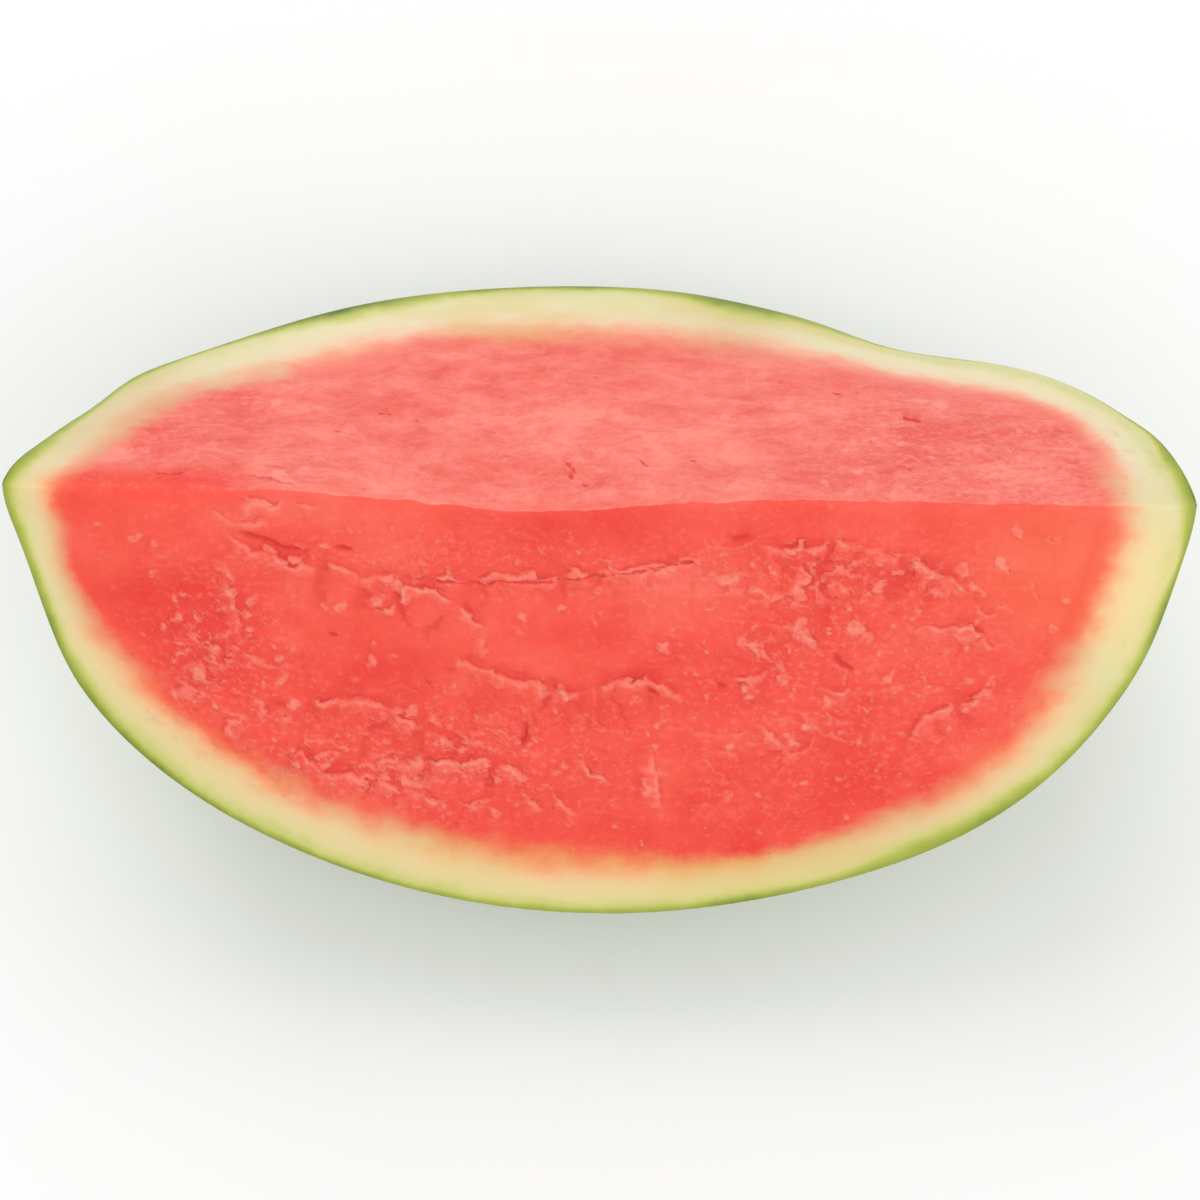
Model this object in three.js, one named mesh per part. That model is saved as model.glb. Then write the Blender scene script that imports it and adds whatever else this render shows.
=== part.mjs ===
// Watermelon wedge: about a quarter of an oblong seedless melon, cut lengthwise twice.
// It is one piece, as it grew: green skin, pale rind and red flesh in a single solid.
// It lies on its skin with the ridge where the two cuts meet on top.
// X runs along the ridge, -Y is the front, where the torn cut face is, and +Z is up.
// The origin is the middle of the small flat spot that the wedge rests on.
import * as THREE from "three";

// The melon, in millimetres
const MELON_LENGTH = 300;
const MELON_DIAMETER = 250;
const LOBE_COUNT = 10;
const LOBE_DEPTH = 0.5;
const HALF_LENGTH = MELON_LENGTH / 2;
const RADIUS = MELON_DIAMETER / 2;

// The melon isn't quite an ellipsoid: one end is drawn out to a small point, and both shoulders are full.
// Each bump is where its middle lies along X, how far it reaches, and its share of the radius.
const POINTED_END = { at: -150, reach: 7.8, share: -0.49 };
const LEFT_SHOULDER = { at: -152, reach: 45, share: 0.045 };
const RIGHT_SHOULDER = { at: 130, reach: 47, share: 0.064 };
const BLUNT_END = { at: 150, reach: 4.7, share: -0.285 };
const END_SHAPES = [POINTED_END, LEFT_SHOULDER, RIGHT_SHOULDER, BLUNT_END];

// The two cuts, in degrees and millimetres
const WEDGE_ANGLE = 94;
const HALF_ANGLE = THREE.MathUtils.degToRad(WEDGE_ANGLE / 2);
// The ridge sags a little down the front face, left of the middle.
const RIDGE_SAG = { at: -16, reach: 38, depth: 4.8 };
// The knife wandered on the back cut, so that its rim drops on both sides and rises at both ends.
const RIM_DROPS = [
  { at: -150, reach: 4, depth: -18 },
  { at: -137.7, reach: 7.5, depth: 8 },
  { at: -119, reach: 36, depth: 6 },
  { at: 62, reach: 16.5, depth: -1.6 },
  { at: 85, reach: 39, depth: 11.2 },
  { at: 150, reach: 5.8, depth: -21 },
];
const DROP_STARTS = 0.35;

// Torn flesh on the front face stands up in ledges. Each line is where a ledge starts: how far along X,
// and how far down the face from the ridge. The ledge is steep there and fades out further down.
const LEDGES = [
  { line: [[-94, 12], [-80, 20], [-50, 24], [-12, 22], [28, 18]], height: 1.6 },
  { line: [[39, 14], [51, 12.5], [67, 13], [84, 19], [96, 26]], height: 1.6 },
  { line: [[-60, 36], [-47, 25], [-38, 29], [-28, 38]], height: 1.4 },
  { line: [[80, 36], [90, 35], [97, 36], [103, 43]], height: 1.2 },
  { line: [[-38, 46], [-24, 51], [-10, 57], [3, 55], [15, 51.5], [24, 57]], height: 2.2 },
  { line: [[59, 55], [67, 54], [82, 52]], height: 1.3 },
  { line: [[80, 70], [87, 59.5], [95, 58], [105, 51]], height: 1.6 },
  { line: [[-79, 59], [-57, 60], [-47, 67], [-35, 71]], height: 1.8 },
  { line: [[43, 62], [51, 74], [59, 69]], height: 1.2 },
  { line: [[-62, 76], [-43, 77.5], [-27, 76.5], [-16, 83]], height: 1.4 },
  { line: [[-78, 75], [-71, 82], [-59, 83], [-39, 91]], height: 1.5 },
];
const LEDGE_STEEP = 1.5;
const LEDGE_FADES = 13;
const LEDGE_ENDS = 5;
const SWELL = 0.7;
const RIND_DEPTH = 16;

// The skin is pressed flat by this much where the wedge rests.
const REST_DEPTH = 0.4;
const AXIS_HEIGHT = RADIUS - REST_DEPTH;

// Steps of the surface
const STATIONS = 76;
const FRONT_ROWS = 30;
const SKIN_ROWS = 24;
const BACK_ROWS = 12;

const { smoothstep } = THREE.MathUtils;

function bump(x, { at, reach }) {
  return Math.exp(-(((x - at) / reach) ** 2));
}

// Distance of the skin from the melon's axis. around is the angle from straight down.
function skinRadius(x, around) {
  const ellipse = RADIUS * Math.sqrt(Math.max(0, 1 - (x / HALF_LENGTH) ** 2));
  const shape = END_SHAPES.reduce((sum, end) => sum + end.share * bump(x, end), 1);
  const lobes = 1 - (LOBE_DEPTH / RADIUS) * (1 - Math.cos(LOBE_COUNT * around)) / 2;
  return ellipse * shape * lobes;
}

// How far the rim of the back cut lies below its plane.
function rimDrop(x) {
  return RIM_DROPS.reduce((sum, drop) => sum + drop.depth * bump(x, drop), 0);
}

// A point of the section at x, given by its distance from the axis and its angle from straight down.
function sectionPoint(x, distance, around) {
  return new THREE.Vector3(x, distance * Math.sin(around), AXIS_HEIGHT - distance * Math.cos(around));
}

function ridgeSag(x) {
  return RIDGE_SAG.depth * bump(x, RIDGE_SAG);
}

// Height of one ledge at a spot of the front face, or 0 beside it.
function ledgeHeight(x, down, { line, height }) {
  const next = line.findIndex((point) => point[0] > x);
  if (next < 1) return 0;
  const [startX, startDown] = line[next - 1];
  const [endX, endDown] = line[next];
  const start = THREE.MathUtils.mapLinear(x, startX, endX, startDown, endDown);
  const below = down - start;
  const fromEnd = Math.min(x - line[0][0], line[line.length - 1][0] - x);
  const rise = smoothstep(below, -LEDGE_STEEP, LEDGE_STEEP) * smoothstep(fromEnd, 0, LEDGE_ENDS);
  return height * rise * Math.exp(-Math.max(0, below) / LEDGE_FADES);
}

// How far the torn flesh stands out of the front cut. It is clean along the ridge and in the rind.
function tornRelief(x, down, rimDistance) {
  const ledges = LEDGES.reduce((sum, ledge) => sum + ledgeHeight(x, down, ledge), 0);
  const swell = SWELL * Math.sin(x / 13 + down / 21) * Math.sin(down / 11 - x / 34);
  const clean = smoothstep(down, 4, 12) * smoothstep(rimDistance - down, RIND_DEPTH / 2, RIND_DEPTH);
  return clean * (ledges + swell);
}

// share runs from 0 at the ridge to 1 at the rim.
function frontPoint(x, share) {
  const rimDistance = skinRadius(x, -HALF_ANGLE);
  const down = THREE.MathUtils.lerp(ridgeSag(x), rimDistance, share);
  const relief = tornRelief(x, down, rimDistance);
  const point = sectionPoint(x, down, -HALF_ANGLE);
  point.y -= relief * Math.cos(HALF_ANGLE);
  point.z += relief * Math.sin(HALF_ANGLE);
  return point;
}

// The rim's drop bends the outer part of the back face, and the ridge's sag bends the inner part.
function backPoint(x, share) {
  const distance = skinRadius(x, HALF_ANGLE) * share;
  const bend = smoothstep(share, DROP_STARTS, 1);
  const point = sectionPoint(x, distance, HALF_ANGLE - (rimDrop(x) / RADIUS) * bend);
  const sag = ridgeSag(x) * (1 - share) ** 2;
  point.y -= sag * Math.sin(HALF_ANGLE);
  point.z -= sag * Math.cos(HALF_ANGLE);
  return point;
}

// share runs from 0 at the front rim to 1 at the back rim.
function skinPoint(x, share) {
  const backRim = backPoint(x, 1);
  const backAround = Math.atan2(backRim.y, AXIS_HEIGHT - backRim.z);
  const around = THREE.MathUtils.lerp(-HALF_ANGLE, backAround, share);
  return sectionPoint(x, skinRadius(x, around), around);
}

// The closed outline of the section at x: down the front face, round the skin, and up the back face.
function section(x) {
  const points = [];
  for (let i = 0; i < FRONT_ROWS; i++) points.push(frontPoint(x, i / FRONT_ROWS));
  for (let i = 0; i < SKIN_ROWS; i++) points.push(skinPoint(x, i / SKIN_ROWS));
  for (let i = 0; i < BACK_ROWS; i++) points.push(backPoint(x, 1 - i / BACK_ROWS));
  for (const point of points) point.z = Math.max(point.z, 0);
  return points;
}

// Sections are joined by quads, and the two ends of the melon close them with fans.
function wedgeGeometry() {
  const rows = FRONT_ROWS + SKIN_ROWS + BACK_ROWS;
  const positions = [];
  const faces = [];
  const place = (point) => positions.push(point.x, point.y, point.z);
  for (let i = 1; i < STATIONS; i++) {
    const x = -HALF_LENGTH * Math.cos((Math.PI * i) / STATIONS);
    section(x).forEach(place);
  }
  const leftEnd = positions.length / 3;
  place(sectionPoint(-HALF_LENGTH, 0, 0));
  const rightEnd = leftEnd + 1;
  place(sectionPoint(HALF_LENGTH, 0, 0));
  const lastStation = STATIONS - 2;
  for (let row = 0; row < rows; row++) {
    const next = (row + 1) % rows;
    for (let i = 0; i < lastStation; i++) {
      const here = i * rows;
      const beyond = here + rows;
      faces.push(here + row, here + next, beyond + next);
      faces.push(here + row, beyond + next, beyond + row);
    }
    faces.push(leftEnd, next, row);
    faces.push(rightEnd, lastStation * rows + row, lastStation * rows + next);
  }
  const geometry = new THREE.BufferGeometry();
  geometry.setAttribute("position", new THREE.Float32BufferAttribute(positions, 3));
  geometry.setIndex(faces);
  geometry.computeVertexNormals();
  return geometry;
}

const flesh = new THREE.MeshStandardMaterial({ color: 0xf2564b, roughness: 0.45, metalness: 0 });
const wedge = new THREE.Mesh(wedgeGeometry(), flesh);
wedge.name = "watermelon_wedge";

const watermelonWedge = new THREE.Group();
watermelonWedge.add(wedge);

export default watermelonWedge;
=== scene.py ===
# %% [markdown]
# # A wedge of watermelon
# This is about a quarter of an oblong seedless melon, cut lengthwise twice. It lies on its skin, with the
# ridge between the two cuts on top. One cut is torn into ragged ledges, and the other is nearly smooth.
# The wedge grew as one piece, so it is built here as one closed surface, worked out from a few formulas.
# It could also be sculpted by hand, or cut from a ball with a Boolean modifier. Formulas are used because
# they tell each point's distance from the skin and from every crack, and the colours are made from those.

import math

import bpy
import numpy as np
from mathutils import Matrix, Vector


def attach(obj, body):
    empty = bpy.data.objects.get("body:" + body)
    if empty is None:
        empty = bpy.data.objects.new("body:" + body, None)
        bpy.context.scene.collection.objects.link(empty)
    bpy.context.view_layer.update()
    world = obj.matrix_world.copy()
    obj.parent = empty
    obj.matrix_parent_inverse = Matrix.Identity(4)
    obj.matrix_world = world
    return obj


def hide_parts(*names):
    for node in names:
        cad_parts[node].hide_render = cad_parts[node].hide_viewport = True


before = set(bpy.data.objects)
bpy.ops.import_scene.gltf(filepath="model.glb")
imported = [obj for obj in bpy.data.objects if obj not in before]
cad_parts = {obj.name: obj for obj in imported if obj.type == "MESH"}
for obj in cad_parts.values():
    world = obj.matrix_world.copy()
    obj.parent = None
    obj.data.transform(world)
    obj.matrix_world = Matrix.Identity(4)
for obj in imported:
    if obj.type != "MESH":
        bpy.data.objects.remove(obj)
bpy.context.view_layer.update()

# %% [markdown]
# ## The melon's shape
# The melon is an ellipsoid, 300 mm long and 250 mm across, whose left end is drawn out to a point and whose
# shoulders are full. All lengths here are in millimetres, and the mesh is scaled to metres at the end.
# Every departure from the ellipsoid is a bump: a bell curve with a middle, a reach and a size. Bumps are
# easier to place one by one than the handles of a curve, and they never make a kink.

# %% Sizes and skin
LENGTH = 300.0
DIAMETER = 250.0
HALF = LENGTH / 2
RADIUS = DIAMETER / 2
LOBES = 10
LOBE_DEPTH = 0.5
END_SHAPES = [(-150, 7.8, -0.49), (-152, 45, 0.045), (130, 47, 0.064), (150, 4.7, -0.285)]
HALF_ANGLE = math.radians(47)
REST_DEPTH = 0.4
AXIS_HEIGHT = RADIUS - REST_DEPTH
print("melon", LENGTH, "by", DIAMETER, "mm, cuts", round(2 * math.degrees(HALF_ANGLE)), "degrees apart")


def bump(x, at, reach, size=1.0):
    """A bell curve of that size whose middle is at `at` and which falls to 37% at `reach` from it."""
    return size * np.exp(-(((x - at) / reach) ** 2))


def bumps(x, table):
    """The sum of several bell curves, one for each (middle, reach, size)."""
    return sum(bump(x, *row) for row in table)


def smoothstep(value, low, high):
    """0 below low, 1 above high, and 3t^2 - 2t^3 in between."""
    t = np.clip((value - low) / (high - low), 0, 1)
    return t * t * (3 - 2 * t)


def skin_radius(x, around):
    """The ellipse's radius at x, times the ends' bumps, less shallow lobes counted round the axis."""
    ellipse = RADIUS * np.sqrt(np.clip(1 - (x / HALF) ** 2, 0, 1))
    lobes = 1 - (LOBE_DEPTH / RADIUS) * (1 - np.cos(LOBES * around)) / 2
    return ellipse * (1 + bumps(x, END_SHAPES)) * lobes


def section_point(x, distance, around):
    """The point at that distance from the melon's axis, at that angle from straight down."""
    return np.stack([x, distance * np.sin(around), AXIS_HEIGHT - distance * np.cos(around)], axis=-1)


# %% [markdown]
# ## Noise to tear the flesh with
# Flesh breaks between its cells, so a torn cut is made of plates and crumbs. Three random patterns copy that.
# Smooth noise blends random heights at the corners of a square grid. Plates give each cell of a jittered
# grid a height and a tilt of its own, so that neighbours meet in small cliffs. Crumbs are round spots in
# some of the grid's cells. A Displace modifier has such noises too, but then the material couldn't know
# where the spots and cliffs are.

# %% Smooth noise
TILE = 256
print("the patterns repeat after", TILE, "cells")


def smooth_noise(u, v, seed):
    """Random heights from -1 to 1 on a unit grid, blended by 6t^5 - 15t^4 + 10t^3 in both directions."""
    heights = np.random.default_rng(seed).uniform(-1, 1, (TILE, TILE))
    column, row = np.floor(u).astype(int), np.floor(v).astype(int)
    a, b = u - column, v - row
    a, b = (t**3 * (t * (6 * t - 15) + 10) for t in (a, b))
    near = [[heights[(column + i) % TILE, (row + j) % TILE] for j in (0, 1)] for i in (0, 1)]
    left = near[0][0] * (1 - b) + near[0][1] * b
    right = near[1][0] * (1 - b) + near[1][1] * b
    return left * (1 - a) + right * a


def rough_noise(u, v, seed, octaves=3):
    """Smooth noise at several scales, each twice as fine and half as strong as the one before."""
    return sum(smooth_noise(u * 2**k, v * 2**k, seed + k) / 2**k for k in range(octaves))


# %% Plates and crumbs
PLATE_JITTER = 0.4
SMALLEST_CRUMB = 0.2
CRUMB_SPREAD = 0.35
print("crumbs are up to", SMALLEST_CRUMB + CRUMB_SPREAD, "cells in radius")


def cells_around(u, v, table):
    """Column, row and random numbers of each of the nine grid cells in and round the point's own."""
    column, row = np.floor(u).astype(int), np.floor(v).astype(int)
    for i in (-1, 0, 1):
        for j in (-1, 0, 1):
            yield column + i, row + j, table[(column + i) % TILE, (row + j) % TILE]


def plates(u, v, seed, tilt):
    """The nearest plate's height: random from -1 to 1, plus its tilt times the way from its middle."""
    table = np.random.default_rng(seed).uniform(-1, 1, (TILE, TILE, 5))
    nearest = np.full(u.shape, np.inf)
    height = np.zeros(u.shape)
    for column, row, cell in cells_around(u, v, table):
        du = u - (column + 0.5 + PLATE_JITTER * cell[..., 0])
        dv = v - (row + 0.5 + PLATE_JITTER * cell[..., 1])
        apart = du**2 + dv**2
        closer = apart < nearest
        nearest = np.where(closer, apart, nearest)
        plane = cell[..., 2] + tilt * (cell[..., 3] * du + cell[..., 4] * dv)
        height = np.where(closer, plane, height)
    return height


def crumbs(u, v, seed, filled):
    """From 0 at a crumb's edge to 1 in its middle, for round crumbs in that share of a grid's cells."""
    table = np.random.default_rng(seed).uniform(0, 1, (TILE, TILE, 4))
    deepest = np.zeros(u.shape)
    for column, row, cell in cells_around(u, v, table):
        apart = np.hypot(u - (column + cell[..., 0]), v - (row + cell[..., 1]))
        radius = SMALLEST_CRUMB + CRUMB_SPREAD * cell[..., 2]
        deepest = np.maximum(deepest, (1 - apart / radius) * (cell[..., 3] < filled))
    return deepest


def drawn_crumbs(x, down, table):
    """The same for drawn crumbs. Each row holds a place along X, one down the cut, and a radius."""
    deepest = np.zeros(x.shape)
    for at_x, at_y, radius in table:
        deepest = np.maximum(deepest, 1 - np.hypot(x - at_x, down - at_y) / radius)
    return deepest


# %% [markdown]
# ## Ledges, cracks and flakes of the torn cut
# Where the flesh tore, each layer starts in a lip that stands over the one above. A line says where a lip
# runs: how far along X, and how far down the cut from the ridge. The surface climbs by a millimetre or two
# at the line and sinks back slowly below it. Large ledges run across the cut, and short ones make the loose
# flakes. Drawn lines put the main lips where the real ones are, which a random pattern can't do.

# %% Lines of the lips
LARGE_LEDGES = [
    ([(-94, 12), (-80, 20), (-50, 24), (-12, 22), (28, 18)], 1.6),
    ([(39, 14), (51, 12.5), (67, 13), (84, 19), (96, 26)], 1.6),
    ([(-60, 36), (-47, 25), (-38, 29), (-28, 38)], 1.4),
    ([(80, 36), (90, 35), (97, 36), (103, 43)], 1.2),
    ([(-38, 46), (-24, 51), (-10, 57), (3, 55), (15, 51.5), (24, 57)], 2.2),
    ([(59, 55), (67, 54), (82, 52)], 1.3),
    ([(80, 70), (87, 59.5), (95, 58), (105, 51)], 1.6),
    ([(-79, 59), (-57, 60), (-47, 67), (-35, 71)], 1.8),
    ([(43, 62), (51, 74), (59, 69)], 1.2),
    ([(-62, 76), (-43, 77.5), (-27, 76.5), (-16, 83)], 1.4),
    ([(-78, 75), (-71, 82), (-59, 83), (-39, 91)], 1.5),
]
FLAKES = [
    ([(-29, 37), (-28, 46)], 0.8),
    ([(52, 15.6), (54, 21), (51, 27), (44, 31), (42, 38)], 1.0),
    ([(56, 24), (56, 27), (59, 29)], 0.8),
    ([(36, 41), (47, 47)], 0.7),
    ([(49, 35), (53, 37), (58, 43)], 1.1),
    ([(65, 36), (68, 35), (72, 40)], 0.9),
    ([(31, 70), (39, 66)], 0.7),
    ([(33, 52), (44, 50.5)], 0.9),
    ([(-5, 76), (-1, 80), (4, 84)], 1.2),
    ([(-36, 90.5), (-28, 89.5)], 0.8),
    ([(-18, 87), (-13, 92)], 0.8),
    ([(-12, 87), (-2, 92)], 0.8),
    ([(14, 73), (17, 82), (18, 95)], 0.9),
    ([(-102, 45), (-96, 46)], 0.8),
    ([(-113, 41), (-108, 42)], 0.6),
    ([(-112, 58), (-106, 64), (-100, 68)], 0.9),
    ([(-99, 73), (-93, 65)], 0.9),
    ([(-90, 60), (-84, 65), (-77, 68)], 1.1),
    ([(-97, 22), (-93, 33), (-90, 43)], 0.8),
    ([(99, 16), (106, 18)], 0.8),
    ([(96, 29), (103, 33)], 0.7),
    ([(109, 21), (113, 27)], 0.7),
    ([(60, 43), (67, 50)], 0.9),
    ([(-91, 2), (-82, 4.5), (-70, 3.5)], 1.0),
    ([(-98, 7), (-91, 9), (-84, 8)], 0.7),
]
LEDGE_FADES = 13.0
FLAKE_FADES = 4.0
LIP_STEEP = 0.8
LIP_ENDS = 5.0
UNEVEN_EVERY = 4.0
print(len(LARGE_LEDGES), "large ledges and", len(FLAKES), "loose flakes")

# %% Shape of a ledge


def line_offset(x, down, line):
    """(signed way past the line, how far along it, its length), by the nearest point of its stretches."""
    best = np.full(x.shape, np.inf)
    offset = np.zeros(x.shape)
    along = np.zeros(x.shape)
    done = 0.0
    for (x0, y0), (x1, y1) in zip(line, line[1:]):
        stretch = math.hypot(x1 - x0, y1 - y0)
        ux, uy = (x1 - x0) / stretch, (y1 - y0) / stretch
        t = np.clip((x - x0) * ux + (down - y0) * uy, 0, stretch)
        gap = np.hypot(x - x0 - t * ux, down - y0 - t * uy)
        side = np.sign((down - y0) * ux - (x - x0) * uy)
        closer = gap < best
        best = np.where(closer, gap, best)
        offset = np.where(closer, gap * np.where(side < 0, -1, 1), offset)
        along = np.where(closer, done + t, along)
        done += stretch
    return offset, along, done


def ledge(x, down, line, height, steep, fades):
    """(height, way past the line, strength): it climbs within `steep` mm and sinks back over `fades` mm."""
    offset, along, length = line_offset(x, down, line)
    taper = smoothstep(np.minimum(along, length - along), -0.1, min(LIP_ENDS, length / 3))
    uneven = rough_noise(along / UNEVEN_EVERY + 40 + line[0][0], np.full(x.shape, 0.5), 81)
    strength = taper * np.clip(0.6 + 0.9 * uneven, 0.05, 1.3)
    top = smoothstep(offset, -steep, steep) * np.exp(-np.maximum(offset, 0) / fades)
    return height * top * strength, offset, strength * min(1, height)


# %% [markdown]
# Between the drawn ledges the flesh hangs in thin sheets that overlap like shingles. A phase grows down
# the cut by one for each sheet. Wherever it passes a whole number the surface steps out by the sheet's
# thickness, and then it sinks back until the next one. Noise in the phase bends the edges into lobes with
# sharp notches between them, and a second noise leaves most of each edge out. There are far too many of
# these edges to draw by hand, so here a random pattern is the better way. Sheets are given by three numbers
# in mm: how far apart they hang, how wide their lobes are, and how thick they are.

# %% Shingles
STEP_RUN = 0.6
LIP_COUNTS = 1.5
print("each sheet's edge rises within", 2 * STEP_RUN, "mm")


def shingles(x, down, spacing, lobes, thickness, seed):
    """(height, way past the nearest edge, strength) of sheets that hang `spacing` mm apart."""
    lobed = np.abs(smooth_noise(x / lobes, down / (1.6 * lobes), seed))
    drift = rough_noise(x / (5 * lobes), down / (4 * lobes), seed + 1)
    phase = down / spacing + 1.1 * lobed + 1.6 * drift
    part = phase - np.floor(phase)
    slope = np.hypot(*(np.gradient(phase, axis=1) / np.gradient(down, axis=1), 0.25 / spacing))
    way = np.where(part < 0.5, part, part - 1) / slope
    shown = rough_noise(x / (2.2 * lobes), down / (1.2 * spacing), seed + 2)
    strength = smoothstep(shown, -0.05, 0.5) * smoothstep(-slope * spacing, -2.6, -1.3)
    step = smoothstep(way, -STEP_RUN, STEP_RUN)
    rise = np.where(part < 0.5, (1 - part) * step, (1 - part) * (1 - step) + step * step)
    return thickness * strength * rise, way, strength


def nearer(first, second):
    """Of two (way, strength) pairs the one that counts for more: its strength fades with the way to it."""
    weights = [strength * np.exp(-np.abs(way) / LIP_COUNTS) for way, strength in (first, second)]
    return tuple(np.where(weights[0] >= weights[1], a, b) for a, b in zip(first, second))


# %% [markdown]
# ## The two cuts
# The ridge sags a little, left of the middle, and the back cut's rim drops where the knife wandered. In some
# patches the front cut is more torn than in others. It has cracks between its layers, and crumbs lie on it.
# Cracks are drawn as lines with a half width and a depth, and the large crumbs as spots with a radius,
# because noise alone wouldn't put them where they are on the real wedge.

# %% Large shapes and torn patches
RIDGE_SAG = (-16, 38, 4.8)
RIM_DROPS = [
    (-150, 4, -18),
    (-137.7, 7.5, 8),
    (-119, 36, 6),
    (62, 16.5, -1.6),
    (85, 39, 11.2),
    (150, 5.8, -21),
]
DROP_STARTS = 0.35
RIND_DEPTH = 16.0
TORN = [
    (-42, 76, 42, 15, 1.3),
    (-98, 52, 17, 26, 0.9),
    (62, 55, 45, 36, 0.7),
    (-30, 20, 60, 8, 0.6),
    (68, 20, 32, 8, 0.7),
]


def patches(x, down, table):
    """The sum of soft ovals: each row holds a middle along X and down, both reaches, and a size."""
    return sum(bump(x, row[0], row[2]) * bump(down, row[1], row[3], row[4]) for row in table)


print("the ridge sags by", RIDGE_SAG[2], "mm, and the front cut has", len(TORN), "torn patches")

# %% Cracks and crumbs of the torn cut
CRACKS = [
    ([(-91, 12), (-85, 14), (-79, 17), (-73, 17.5)], 0.8, 0.9),
    ([(-68, 16.5), (-61, 16.2)], 0.7, 1.0),
    ([(-50, 23.5), (-30, 25.5), (-12, 24), (8, 21), (26, 18)], 0.6, 0.4),
    ([(-18, 63), (-18.4, 73)], 0.7, 1.2),
    ([(-26, 56), (-26, 58.5)], 0.7, 0.9),
    ([(31, 54), (34, 53.4)], 0.9, 0.8),
    ([(60, 43), (64, 47), (67.5, 49.5)], 1.0, 0.8),
    ([(32, 12), (39, 10.5)], 1.1, 0.5),
    ([(13, 54), (17, 56)], 0.7, 0.7),
    ([(-70, 40), (-66, 41.5)], 0.6, 0.5),
    ([(-45, 53), (-42, 57)], 0.6, 0.5),
    ([(-84, 61), (-80, 62)], 0.6, 0.6),
]
CRACK_REACH = 2.0
SPOTS = [
    (-96, 23, 3.6), (-94, 29, 2.2), (-90, 35, 2.4), (-114, 25, 1.8), (-107, 37, 2.2), (-102, 36.5, 1.8),
    (-99, 47, 2.0), (-104, 53, 2.4), (-83, 54, 2.0), (-81, 47, 2.2), (-89, 60, 2.6), (-79, 62, 3.0),
    (-58, 44, 2.4), (-58, 49, 2.2), (-57, 30, 4.6), (-50, 26, 3.0), (-65, 31, 2.2), (-118, 14, 2.6),
    (-113, 17, 2.0), (-20, 36, 2.4), (-9, 31, 2.8), (0, 29, 2.0), (23, 29, 2.0), (28, 33, 1.8),
    (38, 41, 4.0), (18, 43, 2.6), (-8, 57, 2.4), (52, 36, 4.4), (66, 35, 3.4), (56, 24, 2.4),
    (45, 22, 2.6), (42, 28, 2.0), (92, 20, 3.6), (98, 24, 2.8), (105, 7, 3.0), (115, 10, 2.4),
    (116, 35, 2.8), (91, 36, 4.0), (97, 39, 3.2), (75, 50, 3.2), (46, 61, 2.8), (49, 68, 2.8),
    (54, 67, 2.4), (15, 86, 4.6), (16, 65, 2.8), (35, 71, 2.2), (102, 16, 2.4), (87, 26, 2.4),
]


def crack_marks(x, down, cracks):
    """(depth of the cracks, nearness to them from 0 to 1): a bell curve and a tent across each line."""
    deepest = np.zeros(x.shape)
    nearest = np.zeros(x.shape)
    for line, half_width, depth in cracks:
        offset, along, length = line_offset(x, down, line)
        taper = smoothstep(np.minimum(along, length - along), -0.2, min(2, length / 3))
        deepest = np.maximum(deepest, depth * taper * np.exp(-((offset / half_width) ** 2)))
        nearest = np.maximum(nearest, taper * (1 - np.abs(offset) / (CRACK_REACH * half_width)))
    return deepest, nearest


print(len(CRACKS), "cracks and", len(SPOTS), "large crumbs in the torn cut")

# %% [markdown]
# The torn cut adds up a soft swell, the sheets, the ledges and flakes, the crumbs and the cracks. Its lines
# come out crooked, because noise shifts the places where they are looked up. Along the ridge and in the hard
# rind the knife left the cut clean, so the relief fades there. Besides the height, the function returns
# marks for the material: the way past the nearest lip, the lip's size, the nearness of cracks and crumbs, and
# how grainy the flesh is.

# %% Relief of the torn cut
WANDER = 1.2
JAGS = 0.9
SWELL = 0.7
COARSE_SHEETS = (9.0, 7.0, 0.7)
FINE_SHEETS = (4.5, 3.6, 0.35)
GRAIN_RISE = 0.2
CRUMB_RISE = 0.6
RIDGE_WEAR = 0.15
RIND_GRAIN = 0.05
print("in mm: swell", SWELL, "sheets", COARSE_SHEETS[2], "and", FINE_SHEETS[2], "crumbs", CRUMB_RISE)


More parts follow.
